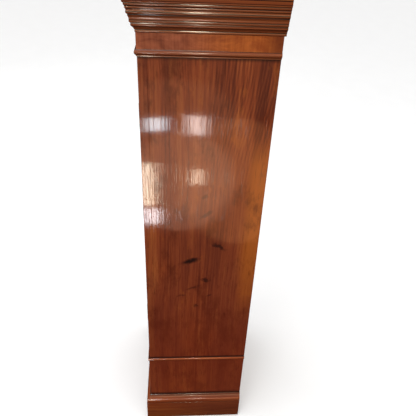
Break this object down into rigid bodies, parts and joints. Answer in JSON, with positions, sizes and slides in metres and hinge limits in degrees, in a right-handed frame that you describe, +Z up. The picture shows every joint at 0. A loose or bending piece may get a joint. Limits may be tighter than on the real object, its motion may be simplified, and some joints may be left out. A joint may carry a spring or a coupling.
{
  "type": "grandfather clock",
  "caption": "Tall mahogany longcase clock with a moulded hood, arched dial, glazed trunk door, swinging pendulum and falling weight.",
  "frame": {"origin": "centre of the footprint box, on the floor", "axes": "+Z up, -Y the dial side, +X to the right of someone facing the dial; X is width, Y is depth"},
  "size_m": [0.518, 0.374, 2.15],
  "materials": {
    "mahogany": "french-polished mahogany, straight to flame figured, with worn edges",
    "mahogany_light": "french-polished mahogany, cross-banded and lighter red-brown",
    "deal": "unfinished softwood, aged",
    "brass": "lacquered and polished",
    "silvered": "silvered brass, matt",
    "steel": "satin",
    "blued_steel": "polished and heat-blued",
    "glass": "clear, slightly wavy",
    "gut_line": "twisted gut, satin"
  },
  "bodies": {
    "case": {"plinth_skirt": "mahogany", "plinth_moulding": "mahogany", "bottom_board": "deal", "right_side_board": "mahogany", "left_side_board": "mahogany", "back_board": "deal", "base_panel": "mahogany", "trunk_front_frame": "mahogany", "trunk_beads": "mahogany_light", "frieze": "mahogany_light", "throat_moulding": "mahogany", "seat_board": "deal", "trunk_hinge_plates": "brass", "dial_plate": "brass", "chapter_ring": "silvered", "dial_spandrels": "brass", "movement_plates": "brass", "movement_pillars": "brass", "back_cock": "brass", "weight_line": "gut_line", "suspension_spring": "steel"},
    "trunk_door": {"trunk_door_frame": "mahogany", "trunk_door_glass": "glass", "trunk_hinge_leaves": "brass", "trunk_lock": "brass"},
    "lock_bolt": {"lock_bolt": "steel"},
    "trunk_key": {"trunk_key": "steel"},
    "hood": {"hood_base": "mahogany", "hood_sides": "mahogany", "hood_side_glass": "glass", "hood_columns": "mahogany", "hood_brasses": "brass", "hood_mask": "mahogany", "hood_top_board": "deal", "hood_frieze": "mahogany_light", "hood_cornice": "mahogany", "hood_tympanum": "mahogany", "swan_necks": "mahogany_light", "finial_blocks": "mahogany", "finials": "brass"},
    "hood_door": {"hood_door_frame": "mahogany", "hood_door_glass": "glass", "hood_door_pivots": "brass"},
    "hood_catch": {"hood_door_catch": "brass"},
    "barrel": {"barrel": "brass"},
    "great_wheel": {"great_wheel": "brass"},
    "centre": {"centre_wheel": "brass", "minute_hand": "blued_steel"},
    "third": {"third_wheel": "brass"},
    "escape": {"escape_wheel": "brass", "seconds_hand": "blued_steel"},
    "anchor": {"anchor": "steel"},
    "minute_wheel": {"minute_wheel": "brass"},
    "hour": {"hour_wheel": "brass", "hour_hand": "blued_steel"},
    "pendulum": {"pendulum_rod": "steel"},
    "bob": {"pendulum_bob": "brass"},
    "rating_nut": {"rating_nut": "brass"},
    "weight": {"weight": "brass"},
    "pulley": {"pulley": "brass"}
  },
  "joints": [
    {"name": "trunk_door_swing", "type": "hinge", "parent": "case", "child": "trunk_door", "pos_m": [0.155, -0.1192, 0.765], "axis": [0, 0, 1], "range_deg": [0, 110]},
    {"name": "key_turn", "type": "hinge", "parent": "trunk_door", "child": "trunk_key", "pos_m": [-0.137, -0.127, 0.795], "axis": [0, 1, 0], "range_deg": [0, 180]},
    {"name": "bolt_throw", "type": "slide", "parent": "trunk_door", "child": "lock_bolt", "axis": [-1, 0, 0], "range_m": [0, 0.008]},
    {"name": "hood_slide", "type": "slide", "parent": "case", "child": "hood", "axis": [0, -1, 0], "range_m": [0, 0.36]},
    {"name": "hood_door_swing", "type": "hinge", "parent": "hood", "child": "hood_door", "pos_m": [0.181, -0.128, 1.654], "axis": [0, 0, 1], "range_deg": [0, 90]},
    {"name": "hood_catch_turn", "type": "hinge", "parent": "hood_door", "child": "hood_catch", "pos_m": [-0.171, -0.12, 1.64], "axis": [0, -1, 0], "range_deg": [0, 90]},
    {"name": "barrel_wind", "type": "hinge", "parent": "case", "child": "barrel", "pos_m": [0, -0.0385, 1.5532], "axis": [0, 1, 0], "range_deg": [-4640, 1060]},
    {"name": "weight_travel", "type": "slide", "parent": "case", "child": "weight", "axis": [0, 0, 1], "range_m": [-0.728, 0.166], "deforming": ["weight_line"]},
    {"name": "pulley_spin", "type": "hinge", "parent": "weight", "child": "pulley", "pos_m": [0.002, -0.0385, 1.15], "axis": [0, 1, 0], "range_deg": [-2100, 480]},
    {"name": "minute_turn", "type": "hinge", "parent": "case", "child": "centre", "pos_m": [0, -0.0405, 1.6], "axis": [0, 1, 0], "continuous": true},
    {"name": "great_wheel_turn", "type": "hinge", "parent": "case", "child": "great_wheel", "pos_m": [0, -0.061, 1.5532], "axis": [0, 1, 0], "continuous": true},
    {"name": "third_turn", "type": "hinge", "parent": "case", "child": "third", "pos_m": [0.00775, -0.0405, 1.6331], "axis": [0, 1, 0], "continuous": true},
    {"name": "escape_turn", "type": "hinge", "parent": "case", "child": "escape", "pos_m": [0, -0.0405, 1.662], "axis": [0, 1, 0], "continuous": true},
    {"name": "minute_wheel_turn", "type": "hinge", "parent": "case", "child": "minute_wheel", "pos_m": [0.0246, -0.0805, 1.6], "axis": [0, 1, 0], "continuous": true},
    {"name": "hour_turn", "type": "hinge", "parent": "case", "child": "hour", "pos_m": [0, -0.0905, 1.6], "axis": [0, 1, 0], "continuous": true},
    {"name": "pendulum_swing", "type": "hinge", "parent": "case", "child": "pendulum", "pos_m": [0, 0.035, 1.697], "axis": [0, 1, 0], "range_deg": [-2.5, 2.5], "deforming": ["suspension_spring"]},
    {"name": "anchor_rock", "type": "hinge", "parent": "case", "child": "anchor", "pos_m": [0, -0.0405, 1.697], "axis": [0, 1, 0], "range_deg": [-2.6, 2.6]},
    {"name": "bob_adjust", "type": "slide", "parent": "pendulum", "child": "bob", "axis": [0, 0, 1], "range_m": [-0.0099, 0.0099]},
    {"name": "rating_nut_turn", "type": "hinge", "parent": "bob", "child": "rating_nut", "pos_m": [0, 0.035, 0.607], "axis": [0, 0, 1], "range_deg": [-3600, 3600]}
  ],
  "couplings": [
    {"joint": "key_turn", "follows": "bolt_throw", "rad_per_m": 392.6},
    {"joint": "barrel_wind", "follows": "weight_travel", "rad_per_m": 111.11},
    {"joint": "pulley_spin", "follows": "weight_travel", "rad_per_m": 50},
    {"joint": "great_wheel_turn", "follows": "minute_turn", "ratio": -0.083333},
    {"joint": "third_turn", "follows": "minute_turn", "ratio": -7.5},
    {"joint": "escape_turn", "follows": "minute_turn", "ratio": 60},
    {"joint": "minute_wheel_turn", "follows": "minute_turn", "ratio": -0.33333},
    {"joint": "hour_turn", "follows": "minute_turn", "ratio": 0.083333},
    {"joint": "anchor_rock", "follows": "pendulum_swing", "ratio": 1},
    {"joint": "rating_nut_turn", "follows": "bob_adjust", "rad_per_m": 6283.2}
  ]
}
